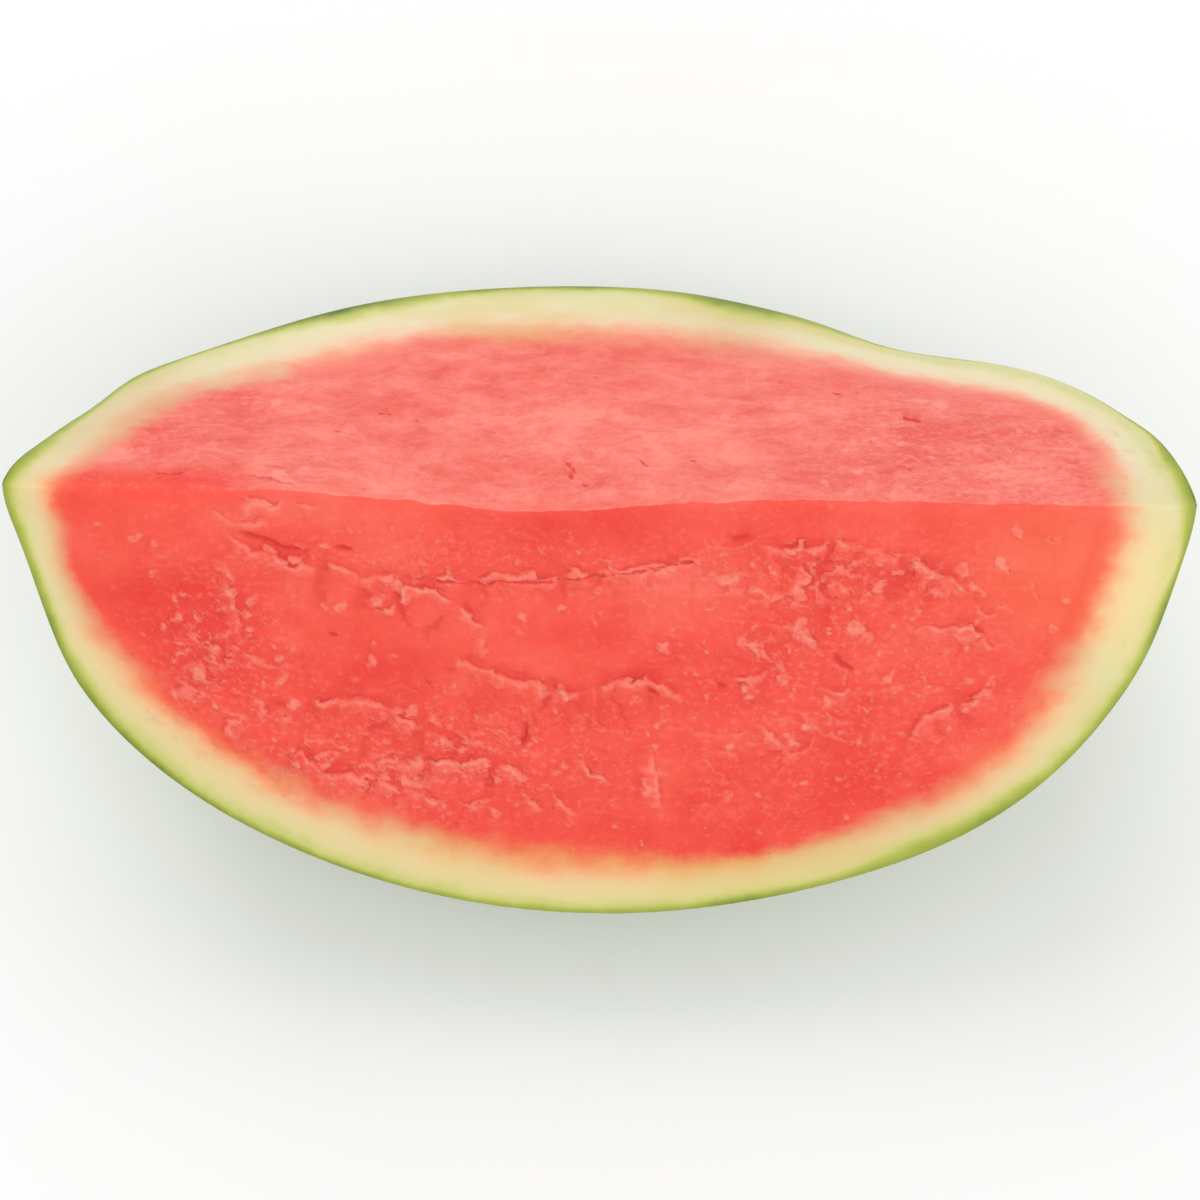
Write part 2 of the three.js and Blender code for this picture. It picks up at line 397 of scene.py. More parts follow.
def torn_relief(x, down, rim_down):
    """(height, marks) of the front cut: swell, sheets, ledges, flakes and crumbs added up, less cracks."""
    wander_x = WANDER * rough_noise(x / 6, down / 6, 11) + JAGS * plates(x / 4, down / 3.5, 12, 0.8)
    wander_y = WANDER * rough_noise(x / 6, down / 6, 21) + JAGS * plates(x / 4, down / 3.5, 22, 0.8)
    near_x, near_y = x + wander_x, down + wander_y
    height = SWELL * np.sin(x / 13 + down / 21) * np.sin(down / 11 - x / 34)
    torn = np.clip(patches(x, down, TORN), 0, 1)
    coarse, edge_way, edge_size = shingles(near_x, near_y, *COARSE_SHEETS, 31)
    fine, fine_way, fine_size = shingles(near_x, near_y, *FINE_SHEETS, 41)
    height += torn * (coarse + fine)
    way, size = nearer((edge_way, 0.8 * torn * edge_size), (fine_way, 0.4 * torn * fine_size))
    for lines, fades in ((LARGE_LEDGES, LEDGE_FADES), (FLAKES, FLAKE_FADES)):
        for line, rise in lines:
            up, line_way, line_size = ledge(near_x, near_y, line, rise, LIP_STEEP, fades)
            height += up
            way, size = nearer((way, size), (line_way, line_size))
    height += GRAIN_RISE * rough_noise(x / 9, down / 6, 45, 4)
    spots = crumbs(near_x / 5.5, near_y / 5, 55, 0.4)
    spots = np.maximum(spots, 0.8 * crumbs(near_x / 3 + 7, near_y / 2.6, 56, 0.35))
    spots = np.maximum((0.25 + 0.75 * torn) * spots, drawn_crumbs(near_x, near_y, SPOTS))
    spots = np.maximum(spots, 0) * (0.95 + 0.8 * rough_noise(x / 2.6, down / 2.2, 58, 2))
    height += CRUMB_RISE * smoothstep(spots, 0.05, 0.6)
    deepest, nearest = crack_marks(x + 0.3 * wander_x, down + 0.3 * wander_y, CRACKS)
    height -= deepest
    frayed_ridge = bump(x, -82, 16)
    from_ridge = smoothstep(down, 2.5 - 6 * frayed_ridge, 10 - 7 * frayed_ridge)
    clean = from_ridge * smoothstep(rim_down - down, RIND_DEPTH / 2, RIND_DEPTH)
    ridge_wear = RIDGE_WEAR * smooth_noise(x / 2.2, down / 2, 51) * bump(down, 1, 4)
    rind_grain = RIND_GRAIN * rough_noise(x / 3, down / 3, 52)
    marks = {"way": way, "size": clean * size, "crack": clean * nearest, "crumb": clean * spots}
    marks["grainy"] = 0.12 + 0.88 * torn
    return clean * height + ridge_wear + rind_grain, marks


# %% [markdown]
# The knife slid through the back cut, so it has only low waves, thin sheets, a few flakes and cracks near the
# ridge, and a grainy patch towards the blunt end. The same functions make it, with smaller sizes. At the
# ridge itself the flesh is a little frayed, and that edge counts as a lip too, so it gets the lips' pale
# colour with a painted highlight along the ridge.

# %% Flakes, cracks and crumbs of the smooth cut
BACK_FADES = 2.5
BACK_STEEP = 0.9
BACK_FLAKES = [
    ([(-93, 9), (-84, 6), (-73, 3)], 1.0),
    ([(-87, 13), (-78, 11)], 0.7),
    ([(-30, 70), (-18, 69)], 0.4),
    ([(-68, 33), (-62, 31)], 0.5),
    ([(70, 40), (84, 38)], 0.5),
    ([(88, 52), (104, 49)], 0.5),
]
BACK_CRACKS = [
    ([(-9.5, 26), (-8, 20), (-6.5, 14)], 0.8, 0.9),
    ([(-4.5, 14.5), (-1.5, 10.5)], 0.8, 1.0),
    ([(8, 24.5), (14, 19.5)], 0.7, 0.6),
    ([(-60, 46), (-54, 43)], 0.7, 0.6),
    ([(-50, 42), (-46, 40)], 0.7, 0.7),
    ([(-70, 32), (-66, 34)], 0.7, 0.5),
    ([(-114, 8.4), (-104, 8.4)], 0.8, 0.9),
    ([(78, 46), (86, 44.5)], 1.1, 1.0),
    ([(60, 62), (66, 60)], 0.8, 0.6),
    ([(3, 13.7), (5, 13.7)], 0.8, 0.9),
    ([(22, 23), (27, 20), (30, 20)], 0.6, 0.4),
    ([(-48, 16), (-44, 15)], 0.6, 0.5),
    ([(-28, 26), (-21, 25)], 0.6, 0.4),
]
BACK_SPOTS = [
    (-19, 38, 2.8), (-17, 30, 2.6), (32, 44, 2.4), (47, 3, 3.0), (44, 12, 2.6), (56, 8, 2.8),
    (103, 20, 3.6), (108, 24, 3.0), (98, 27, 2.8), (91, 55, 4.6), (85, 57, 3.4), (74, 3, 3.0),
    (-93, 48, 4.6), (-86, 46, 3.0), (-124, 20, 5.0), (-116, 21, 3.6), (-81, 7, 3.6), (-75, 9, 3.0),
    (66, 14, 2.6), (112, 12, 2.8),
]
print(len(BACK_FLAKES), "flakes,", len(BACK_CRACKS), "cracks and", len(BACK_SPOTS), "large crumbs")

# %% Relief of the smooth cut
WAVES = 0.35
BACK_SHEETS = (9.0, 7.0, 0.2)
BACK_CRUMB_RISE = 0.35
print("in mm: waves", WAVES, "sheets", BACK_SHEETS[2], "crumbs", BACK_CRUMB_RISE)


def smooth_relief(x, down, rim_down):
    """(height, marks) of the back cut: waves, grain, sheets, flakes and crumbs added up, less cracks."""
    wander = 0.8 * rough_noise(x / 4, down / 4, 61)
    near_x, near_y = x + wander, down + wander
    grainy = smoothstep(x, 35, 80) * smoothstep(-down, -75, -35)
    height = WAVES * smooth_noise(x / 24, down / 18, 62) + 0.2 * smooth_noise(x / 8, down / 6, 63)
    height += (0.08 + 0.2 * grainy) * rough_noise(x / 4, down / 4, 64)
    sheets, way, size = shingles(near_x, near_y, *BACK_SHEETS, 66)
    height += sheets
    size = 0.2 * size
    for line, rise in BACK_FLAKES:
        up, line_way, line_size = ledge(near_x, near_y, line, rise, BACK_STEEP, BACK_FADES)
        height += up
        way, size = nearer((way, size), (line_way, line_size))
    spots = (0.2 + 0.6 * grainy) * crumbs(near_x / 4, near_y / 4, 57, 0.45)
    spots = np.maximum(spots, drawn_crumbs(near_x, near_y, BACK_SPOTS))
    spots = spots * (0.9 + 0.8 * rough_noise(x / 3, down / 3, 59, 2))
    height += BACK_CRUMB_RISE * smoothstep(spots, 0.05, 0.6)
    deepest, nearest = crack_marks(near_x, near_y, BACK_CRACKS)
    height -= deepest
    frayed_ridge = bump(x, -84, 14)
    from_ridge = smoothstep(down, 1 - 4 * frayed_ridge, 6 - 4 * frayed_ridge)
    clean = from_ridge * smoothstep(rim_down - down, RIND_DEPTH / 2, RIND_DEPTH)
    # A pale line along the left part of the ridge: partly frayed flesh, partly a painted highlight on the
    # edge.
    ridge_lip_highlight = smoothstep(x, -95, -60) * smoothstep(rough_noise(x / 7, 0 * x, 67), -0.6, 0.4)
    way, size = nearer((way, clean * size), (down + 0.5, 0.5 * ridge_lip_highlight))
    left_grain = bump(x, -108, 22) * smoothstep(down, 8, 16) + bump(x, -20, 28) * bump(down, 30, 22, 0.5)
    marks = {"way": way, "size": size, "crack": clean * nearest, "crumb": clean * spots}
    marks["grainy"] = np.clip(0.4 + 0.6 * grainy + 0.4 * left_grain, 0, 1)
    return clean * height, marks


# %% [markdown]
# ## One closed surface
# Each section across the ridge is a loop: down the front cut, round the skin and up the back cut. The loops
# are strung along X and joined by quads, and each end is closed by a fan. Rows crowd near the corners, so
# that a few rounds of averaging can break the sharp edges the way a knife and wet flesh leave them. A Bevel
# modifier would do the same, but averaging keeps every point, and so its marks for the material.

# %% Rows and stations
CORNER_STEPS = np.array([0, 0.35, 0.75, 1.25, 1.9])
FRONT_MIDDLE = 150
BACK_MIDDLE = 84
SKIN_MIDDLE = 18
END_STEPS = 14
END_REACH = 4.0
INNER_STATIONS = 334


def face_rows(middle):
    """(steps from the near edge in mm, share of the middle, steps to the far edge in mm) of each row."""
    near = np.concatenate([CORNER_STEPS, np.full(middle + 4, CORNER_STEPS[-1])])
    share = np.concatenate([np.zeros(4), np.linspace(0, 1, middle + 1), np.ones(4)])
    far = np.concatenate([np.zeros(middle + 4), CORNER_STEPS[-1] - CORNER_STEPS[::-1]])
    return near, share, far


def face_distance(start, end, rows):
    """Distance of each row from the ridge: fixed steps at both edges and even ones between them."""
    near, share, far = rows
    length = (end - start)[:, None]
    fixed = np.minimum(1, length / 10)
    middle = length - 2 * CORNER_STEPS[-1] * fixed
    return start[:, None] + near * fixed + share * middle + far * fixed


from_tip = np.linspace(0, 1, END_STEPS + 1)[1:]
left_end = -HALF + END_REACH * from_tip**2
inner = np.linspace(-HALF + END_REACH, HALF - END_REACH, INNER_STATIONS)[1:-1]
stations = np.concatenate([left_end, inner, -left_end[::-1]])
print(len(stations), "stations along the ridge")

# %% [markdown]
# Towards both ends the ridge has been worn round, most of all at the pointed one, and in between it is nearly
# sharp. Rows nearer to the ridge than the round reaches are moved onto an arc that touches both cuts. The
# radius shrinks again towards the tips, so that the arc never reaches past them.

# %% Round of the ridge
SHARP_ROUND = 0.9
WORN_ROUND = 9.0
END_ROUND = 0.2
print("the ridge's radius runs from", SHARP_ROUND, "mm to", WORN_ROUND, "mm, less near both tips")


def rounded_ridge(x, down):
    """(way down the cut, height out of it) after the corner is turned into an arc of the local radius."""
    worn = smoothstep(-x, 78, 118) + 0.6 * smoothstep(x, 112, 135)
    radius = SHARP_ROUND + (WORN_ROUND - SHARP_ROUND) * worn
    radius = np.minimum(radius, END_ROUND * (HALF - np.abs(x)))
    reach = np.maximum(radius / math.tan(HALF_ANGLE), 0.001)
    turn = (math.pi / 2 - HALF_ANGLE) * (1 - np.clip(down / reach, 0, 1))
    inside = down < reach
    arc_down = reach - radius * np.sin(turn)
    arc_out = -radius * (1 - np.cos(turn))
    return np.where(inside, arc_down, down), np.where(inside, arc_out, 0)


# %% [markdown]
# Now the rows and stations become points. The front cut starts where the ridge sags to, with small nibbles,
# and ends at its rim. The back cut is bent down towards its rim, and near the ridge it follows the sag. Each
# cut is worked out in its own flat plane first, because the relief and the marks are drawn there.

# %% Points of the two cuts
front_normal = np.array([0, -math.cos(HALF_ANGLE), math.sin(HALF_ANGLE)])
back_normal = np.array([0, math.cos(HALF_ANGLE), math.sin(HALF_ANGLE)])
RIDGE_NIBBLES = 0.35
nibbles = rough_noise(stations / 6, 0 * stations, 75)
nibbled = RIDGE_NIBBLES * nibbles * smoothstep(-np.abs(stations), -145, -120)
sag = np.maximum(bump(stations, *RIDGE_SAG) + nibbled + RIDGE_NIBBLES, 0)
front_rim = skin_radius(stations, -HALF_ANGLE)
back_rim = skin_radius(stations, HALF_ANGLE)

front_down = face_distance(sag, front_rim, face_rows(FRONT_MIDDLE))
front_x = np.broadcast_to(stations[:, None], front_down.shape)
front_up, front_marks = torn_relief(front_x, front_down, front_rim[:, None])
front_arc, front_out = rounded_ridge(front_x, front_down - sag[:, None])
front = section_point(front_x, front_arc + sag[:, None], -HALF_ANGLE)
front = front + (front_up + front_out)[..., None] * front_normal

back_down = face_distance(np.zeros_like(sag), back_rim, face_rows(BACK_MIDDLE))[:, ::-1]
back_x = np.broadcast_to(stations[:, None], back_down.shape)
back_share = back_down / back_rim[:, None]
drop = bumps(back_x, RIM_DROPS) / RADIUS * smoothstep(back_share, DROP_STARTS, 1)
back_up, back_marks = smooth_relief(back_x, back_down, back_rim[:, None])
back_arc, back_out = rounded_ridge(back_x, back_down)
back = section_point(back_x, back_arc, HALF_ANGLE - drop) + (back_up + back_out)[..., None] * back_normal
along_front = np.array([0, -math.sin(HALF_ANGLE), -math.cos(HALF_ANGLE)])
back = back + (sag[:, None] * (1 - back_share) ** 2)[..., None] * along_front
print("front cut", front.shape, "back cut", back.shape)

# %% Points of the skin
turn_start = -HALF_ANGLE
turn_end = (HALF_ANGLE - drop[:, 0])[:, None]
near, share, far = face_rows(SKIN_MIDDLE)
corner = np.minimum(CORNER_STEPS[-1] / np.maximum(front_rim, 1), 0.1)[:, None]
scale = corner / CORNER_STEPS[-1]
turn = turn_start + near * scale + share * (turn_end - turn_start - 2 * corner) + far * scale
skin_x = np.broadcast_to(stations[:, None], turn.shape)
PORES = 0.06
pores = PORES * rough_noise(skin_x / 7, turn * 18, 71)
skin = section_point(skin_x, skin_radius(skin_x, turn) + pores, turn)
print("skin", skin.shape, "and its rim drops by up to", drop.max().round(3), "radians")

# %% [markdown]
# The rind isn't equally thick all round. It is thin at the left end near the ridge and thick at the right
# one, and the back cut runs through it at a slant, so that it looks wider there. The green edge and the
# rind's tone change along the rim too. Each table below starts with a usual value and adds a bump for each
# change, at so many millimetres round the rim from the left tip. The values go to the material as
# attributes of the mesh. They could be painted by hand, but numbers stay in place when the shape changes.

# %% Widths and tones round the rims
FRONT_RIND = (16.0, [
    (28, 30, -7.3), (135, 30, 1), (268, 44, -4), (332, 30, -2.2), (394, 22, 2), (430, 16, 2),
])
BACK_RIND = (29.5, [
    (0, 45, -17), (54, 24, -5.2), (78, 26, -4.5), (168, 30, -2), (226, 20, 2.2), (376, 52, -14.2),
    (405, 20, -2.5), (432, 25, -5),
])
FRONT_EDGE = (2.3, [
    (75, 35, 0.6), (256, 12, 0.8), (312, 20, 2.6), (336, 12, 1.2), (418, 9, -1.2), (434, 8, 0.9),
])
BACK_EDGE = (3.6, [
    (0, 15, -1.4), (95, 22, -1.8), (145, 22, 3.6), (258, 16, 5.6), (304, 14, -1), (350, 45, -3.5),
    (400, 18, -1.6), (425, 12, -0.8),
])
FRONT_GREEN = (0.1, [
    (42, 8, 0.4), (88, 34, 0.6), (150, 20, 0.35), (256, 12, 0.6), (328, 9, 0.3), (403, 9, 0.5),
])
BACK_GREEN = (0.1, [(90, 24, 0.5), (138, 20, 1.0), (190, 13, 0.8), (212, 10, 0.7), (256, 14, 0.7)])
FRONT_TONE = (0.1, [(408, 30, -0.8), (200, 40, -0.3), (310, 35, 0.4)])
BACK_TONE = (0.1, [(48, 36, 1.0), (258, 20, 0.5)])
RIM_SAMPLES = 1200
CHUNKS = 40
print("the usual rind is", FRONT_RIND[0], "mm wide in front and", BACK_RIND[0], "mm at the back")

# %% Values at each point


def join_rows(front_part, skin_part, back_part):
    """One loop's values: the front cut, the skin less its ends, and the back cut less the ridge."""
    return np.concatenate([front_part, skin_part[:, 1:-1], back_part[:, :-1]], axis=1)


def blend_ends(at_front, at_back):
    """Values for the skin rows, running evenly from the front rim's to the back rim's."""
    t = np.linspace(0, 1, skin.shape[1])
    return at_front[:, :1] * (1 - t) + at_back[:, :1] * t


def rim_distance(x, down, side_angle):
    """(way to the nearest of many points of the rim, how far round the rim from the left tip that is)."""
    rim_x = -HALF * np.cos(np.linspace(0, np.pi, RIM_SAMPLES))
    rim_down = skin_radius(rim_x, side_angle)
    steps = np.hypot(np.diff(rim_x), np.diff(rim_down))
    along_rim = np.concatenate([[0], np.cumsum(steps)])
    ways, places = [], []
    for part in np.array_split(np.stack([x.ravel(), down.ravel()], axis=1), CHUNKS):
        apart = np.hypot(part[:, :1] - rim_x, part[:, 1:] - rim_down)
        nearest = apart.argmin(axis=1)
        ways.append(apart[np.arange(len(part)), nearest])
        places.append(along_rim[nearest])
    return np.concatenate(ways).reshape(x.shape), np.concatenate(places).reshape(x.shape)


def tone_at(place, table):
    """The table's usual value, plus its bumps."""
    return table[0] + bumps(place, table[1])


def width_at(place, table):
    """The same, but never below a tenth of a millimetre."""
    return np.maximum(tone_at(place, table), 0.1)


def round_loop(at_front, at_back):
    """A loop's values from those of the two cuts, with an even change from rim to rim on the skin."""
    return join_rows(at_front, blend_ends(at_front, at_back), at_back)


points = join_rows(front, skin, back)
front_from_skin, front_place = rim_distance(front_x, front_down, -HALF_ANGLE)
back_from_skin, back_place = rim_distance(back_x, back_down, HALF_ANGLE)
from_skin = join_rows(front_from_skin, np.zeros(turn.shape), back_from_skin)
rind = round_loop(width_at(front_place, FRONT_RIND), width_at(back_place, BACK_RIND))
edge = round_loop(width_at(front_place, FRONT_EDGE), width_at(back_place, BACK_EDGE))
green = round_loop(width_at(front_place, FRONT_GREEN), width_at(back_place, BACK_GREEN))
tone = round_loop(tone_at(front_place, FRONT_TONE), tone_at(back_place, BACK_TONE))
marks = {name: join_rows(front_marks[name], 0 * turn, back_marks[name]) for name in front_marks}
marks["way"] = np.clip(marks["way"], -5, 5)
marks["size"] = marks["size"] * smoothstep(-np.abs(marks["way"]), -4.5, -2.5)
worn = smoothstep(-stations, 84, 100)[:, None]
worn_right = smoothstep(stations, 116, 138)[:, None]
front_side = 1 - 0.5 * worn_right * bump(front_down, 0, 12)
back_side = 0.5 * worn_right * bump(back_down, 0, 12) + worn * smoothstep(-back_down, -13, -4)
side = join_rows(front_side, np.full(turn.shape, 0.5), back_side)
print("the rind is", rind.min().round(1), "to", rind.max().round(1), "mm wide")

# %% [markdown]
# A hollow is where the surface lies below the mean of its surroundings. The material darkens it there. This
# is painted shade, as it falls into hollows, and partly the juice that gathers in them. An Ambient Occlusion
# node would find such places too, but it slows down every render.

# %% Hollows


def blurred(values, wide, tall):
    """The mean of the values in a window of stations and rows around each, by running sums."""
    for axis, size in ((0, wide), (1, tall)):
        padding = [(0, 0), (0, 0)]
        padding[axis] = (size, size)
        total = np.cumsum(np.pad(values, padding, mode="edge"), axis=axis)
        count = values.shape[axis]
        upper = np.take(total, np.arange(2 * size, 2 * size + count), axis=axis)
        lower = np.take(total, np.arange(0, count), axis=axis)
        values = (upper - lower) / (2 * size)
    return values


front_hollow = blurred(front_up, 6, 5) - front_up
BACK_HOLLOWS = 0.8
back_hollow = BACK_HOLLOWS * (blurred(back_up, 5, 2) - back_up)
hollow = join_rows(front_hollow, np.zeros(turn.shape), back_hollow)
print("hollows from", hollow.min().round(2), "to", hollow.max().round(2), "mm")

# %% [markdown]
# Ripe flesh isn't evenly red. Large soft patches are drawn as ovals, and slow noise is added to them. A
# positive size is deeper red and a negative one is paler. Noise alone would be simpler, but it wouldn't put
# the deep patches in their places.

# %% Tints of the flesh
FRONT_TINTS = [
    (5, 7, 32, 6, 0.9), (36, 11, 6, 4, 0.6), (-112, 32, 20, 18, 0.6), (-62, 55, 18, 14, 0.5),
    (-6, 44, 16, 10, 0.4), (58, 84, 26, 11, 1.0), (60, 112, 40, 12, 1.0), (62, 72, 24, 14, 0.4),
    (0, 98, 45, 9, 0.9), (-126, 6, 14, 9, 0.3), (30, 60, 14, 10, 0.4), (20, 24, 26, 9, -0.7),
    (82, 38, 24, 10, -0.6), (18, 84, 4, 12, -0.9), (-92, 22, 6, 8, -0.3), (-88, 48, 13, 18, 0.5),
    (56, 44, 22, 16, 0.5), (70, 13, 18, 5, -0.6), (123, 15, 8, 10, -1.0), (12, 57, 13, 8, 0.4),
    (-80, 6, 30, 5, -0.5),
]
# The row at -125 along X and 16 down, with size -2.0, is a painted highlight: a small whitish shine on the
# wet back cut.
BACK_TINTS = [
    (-112, 9, 28, 7, 0.7), (-15, 96, 35, 12, 0.8), (50, 118, 30, 14, 1.0), (-125, 16, 7, 3, -2.0),
    (88, 38, 18, 12, 0.9), (-9, 40, 11, 14, -0.4), (-95, 30, 25, 14, 0.4), (10, 32, 45, 18, -0.5),
    (-38, 32, 17, 13, 0.7), (45, 66, 25, 8, 0.5),
]


def tinted(x, down, table):
    """The table's soft ovals plus slow noise."""
    return patches(x, down, table) + 0.45 * rough_noise(x / 26, down / 16, 91)


tint = join_rows(tinted(front_x, front_down, FRONT_TINTS), 0 * turn, tinted(back_x, back_down, BACK_TINTS))
soft = rough_noise(points[..., 0] / 30 + points[..., 1] / 40, points[..., 2] / 26 + points[..., 1] / 60, 95)
print("tints from", tint.min().round(2), "to", tint.max().round(2))

# %% [markdown]
# No knife leaves a perfect edge. The rows next to the ridge and to both rims are averaged with their
# neighbours three times, which rounds the edges by a fraction of a millimetre. Then everything that would
# reach below the table is pressed flat, and the loops are joined to a mesh.

# %% Broken edges
EDGE_ROUNDS = 3


def break_edges(loops):
    """Moves the rows near the three corners to the mean of their neighbours, a few times over."""
    count = loops.shape[1]
    rows = np.arange(count)
    corners = (0, front.shape[1] - 1, front.shape[1] + skin.shape[1] - 2)
    near_corner = np.zeros(count, bool)
    for at in corners:
        near_corner |= np.minimum((rows - at) % count, (at - rows) % count) <= 2
    for _ in range(EDGE_ROUNDS):
        mean = (np.roll(loops, 1, axis=1) + np.roll(loops, -1, axis=1)) / 2
        loops = np.where(near_corner[None, :, None], mean, loops)
    return loops


points = break_edges(points)
points[..., 2] = np.maximum(points[..., 2], 0)
print("lowest point", points[..., 2].min(), "mm, highest", points[..., 2].max().round(2), "mm")

# %% The mesh
MM = 0.001
BOTH_TIPS = [0, -1]


def wedge_mesh(name, loops):
    """Joins neighbouring loops by quads and closes both ends with fans to the melon's two tips."""
    stations_count, rows = loops.shape[:2]
    tips = np.array([[-HALF, 0, AXIS_HEIGHT], [HALF, 0, AXIS_HEIGHT]])
    verts = np.concatenate([loops.reshape(-1, 3), tips]) * MM
    index = np.arange(stations_count * rows).reshape(stations_count, rows)
    beside = np.roll(index, -1, axis=1)
    quads = np.stack([index[:-1], beside[:-1], beside[1:], index[1:]], axis=-1).reshape(-1, 4)
    left_tip, right_tip = stations_count * rows, stations_count * rows + 1
    left_fan = np.stack([np.full(rows, left_tip), beside[0], index[0]], axis=-1)
    right_fan = np.stack([np.full(rows, right_tip), index[-1], beside[-1]], axis=-1)
    mesh = bpy.data.meshes.new(name)
    mesh.from_pydata(verts, [], quads.tolist() + left_fan.tolist() + right_fan.tolist())
    mesh.shade_smooth()
    return mesh


def add_attribute(mesh, name, values, at_tips):
    """One number per vertex: the loops' values and then the two tips'."""
    flat = np.concatenate([values.reshape(-1), at_tips]).astype(np.float32)
    mesh.attributes.new(name, "FLOAT", "POINT").data.foreach_set("value", flat)


def add_object(name, data):
    """A new object in the scene that shows this data."""
    made = bpy.data.objects.new(name, data)
    bpy.context.scene.collection.objects.link(made)
    return made


mesh = wedge_mesh("watermelon", points)
for name, values in {"from_skin": from_skin, "hollow": hollow, "tint": tint, **marks}.items():
    add_attribute(mesh, name, values, [0, 0])
for name, values in {"rind": rind, "edge": edge, "green": green, "tone": tone, "soft": soft}.items():
    add_attribute(mesh, name, values, values[BOTH_TIPS, 0])
add_attribute(mesh, "side", side, [0.5, 0.5])
wedge = add_object("watermelon", mesh)
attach(wedge, "root")
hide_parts("watermelon_wedge")
triangles = sum(len(p.vertices) - 2 for p in mesh.polygons)
print(len(mesh.vertices), "vertices,", triangles, "triangles")

# %% [markdown]
# ## Flesh, rind and skin in one material
# The colour follows the distance from the skin: a dark green line, a pale green band, cream rind, an orange
# blush and then red flesh. Both edges of the rind wander a little. Torn lips and crumbs hold air, so they are
# paler, and the lips also get a painted highlight. Hollows and cracks get painted shade, a deeper wet red,
# and the back cut's reds are paler with a painted sheen. A photograph could be wrapped round the wedge
# instead, but nodes stay sharp from close by. First come some helpers that make nodes and link them.

# %% Node helpers
material = bpy.data.materials.new("watermelon")
material.use_nodes = True
tree = material.node_tree
nodes, links = tree.nodes, tree.links
nodes.clear()


def feed(socket, value):
    """Links another node's output to the socket, or sets the socket to a number or colour."""
    if isinstance(value, bpy.types.NodeSocket):
        links.new(value, socket)
    else:
        socket.default_value = value


def node(kind, **settings):
    """A new shader node of that kind, with its properties set and its sockets fed from `inputs`."""
    made = nodes.new("ShaderNode" + kind)
    for key, value in settings.pop("inputs", {}).items():
        feed(made.inputs[key], value)
    for key, value in settings.items():
        setattr(made, key, value)
    return made


def attribute(name):
    """The number stored on the mesh under that name."""
    return node("Attribute", attribute_name=name).outputs["Fac"]


def math_node(operation, a, b=0.0, c=0.0):
    """One arithmetic step on sockets or numbers."""
    made = node("Math", operation=operation)
    for socket, value in zip(made.inputs, (a, b, c)):
        feed(socket, value)
    return made.outputs[0]


def times(*values):
    """The product of several sockets or numbers."""
    product = values[0]
    for value in values[1:]:
        product = math_node("MULTIPLY", product, value)
    return product


def roughened(value, pattern, amount):
    """The value plus the amount times how far the pattern, which runs from 0 to 1, lies above 0.5."""
    return math_node("MULTIPLY_ADD", math_node("SUBTRACT", pattern, 0.5), amount, value)


def ramp(value, low, high, to_low=0.0, to_high=1.0):
    """Smoothly maps low..high to to_low..to_high and holds the ends."""
    limits = {"Value": value, "From Min": low, "From Max": high, "To Min": to_low, "To Max": to_high}
    return node("MapRange", interpolation_type="SMOOTHSTEP", inputs=limits).outputs["Result"]


def mix_colors(factor, first, second):
    """The second colour over the first one, by that factor."""
    made = node("Mix", data_type="RGBA")
    for at, value in ((0, factor), (6, first), (7, second)):
        feed(made.inputs[at], value)
    return made.outputs[2]


def layered(color, *layers):
    """The colour after each layer, a factor and an sRGB colour, has been laid over it in turn."""
    for factor, layer in layers:
        color = mix_colors(factor, color, srgb(*layer))
    return color


def noise(scale, detail=3.0, stretch=(1, 1, 1), roughness=0.5, distortion=0.0):
    """Noise from 0 to 1 in the object's own space; scale is in patches per metre."""
    mapped = node("Mapping", inputs={"Vector": place, "Scale": stretch})
    settings = {"Vector": mapped.outputs[0], "Scale": scale, "Detail": detail}
    settings.update({"Roughness": roughness, "Distortion": distortion})
    return node("TexNoise", inputs=settings).outputs["Fac"]


def srgb(red, green, blue):
    """A colour given as 0 to 255 in sRGB, turned into the linear light that the renderer works in."""
    def linear(c):
        c = c / 255
        return c / 12.92 if c <= 0.04045 else ((c + 0.055) / 1.055) ** 2.4
    return (linear(red), linear(green), linear(blue), 1.0)


place = node("TexCoord").outputs["Object"]
print("material", material.name, "started with", len(nodes), "node")

# %% [markdown]
# The skin's stripes run from tip to tip. They are dark bands round the axis, whose angle is found from the
# place's height and depth, and noise frays their borders. A Wave texture could make bands too, but its
# straight ones wouldn't meet at the tips.

# %% Skin colour
STRIPES = 17.0
parts = node("SeparateXYZ", inputs={"Vector": place})
below_axis = math_node("SUBTRACT", AXIS_HEIGHT * MM, parts.outputs["Z"])
around = math_node("ARCTAN2", parts.outputs["Y"], below_axis)
fray = noise(38, 3, (0.5, 1, 1), 0.6)
wavy = roughened(around, fray, 0.3)
stripe_wave = math_node("SINE", math_node("MULTIPLY_ADD", wavy, STRIPES, -0.2))
stripe = ramp(stripe_wave, -0.25, 0.5)
mottle = noise(150, 2, (0.6, 1, 1), 0.65)
light_skin = mix_colors(ramp(mottle, 0.35, 0.65), srgb(168, 186, 88), srgb(132, 158, 62))
dark_skin = mix_colors(ramp(mottle, 0.4, 0.62), srgb(56, 88, 30), srgb(94, 122, 42))
skin_color = mix_colors(stripe, light_skin, dark_skin)
print("about", round(STRIPES), "dark stripes round the whole melon")

# %% [markdown]
# Depth is the distance from the skin divided by the rind's width there, so 1 is where the rind ends and the
# flesh starts. Two colour ramps, one for each cut, are read with it. Reading one number through a ramp keeps
# the whole rind in order, however wide it is.

# %% Rind colours
from_skin_mm = attribute("from_skin")
ragged = math_node("SUBTRACT", noise(100, 3, (1, 1, 1), 0.65), 0.5)
soft_patches = attribute("soft")
wander = math_node("MULTIPLY_ADD", soft_patches, 0.06, times(ragged, 0.4))
depth = math_node("ADD", math_node("DIVIDE", from_skin_mm, attribute("rind")), wander)
edge_depth = math_node("ADD", math_node("DIVIDE", from_skin_mm, attribute("edge")), times(ragged, 0.9))


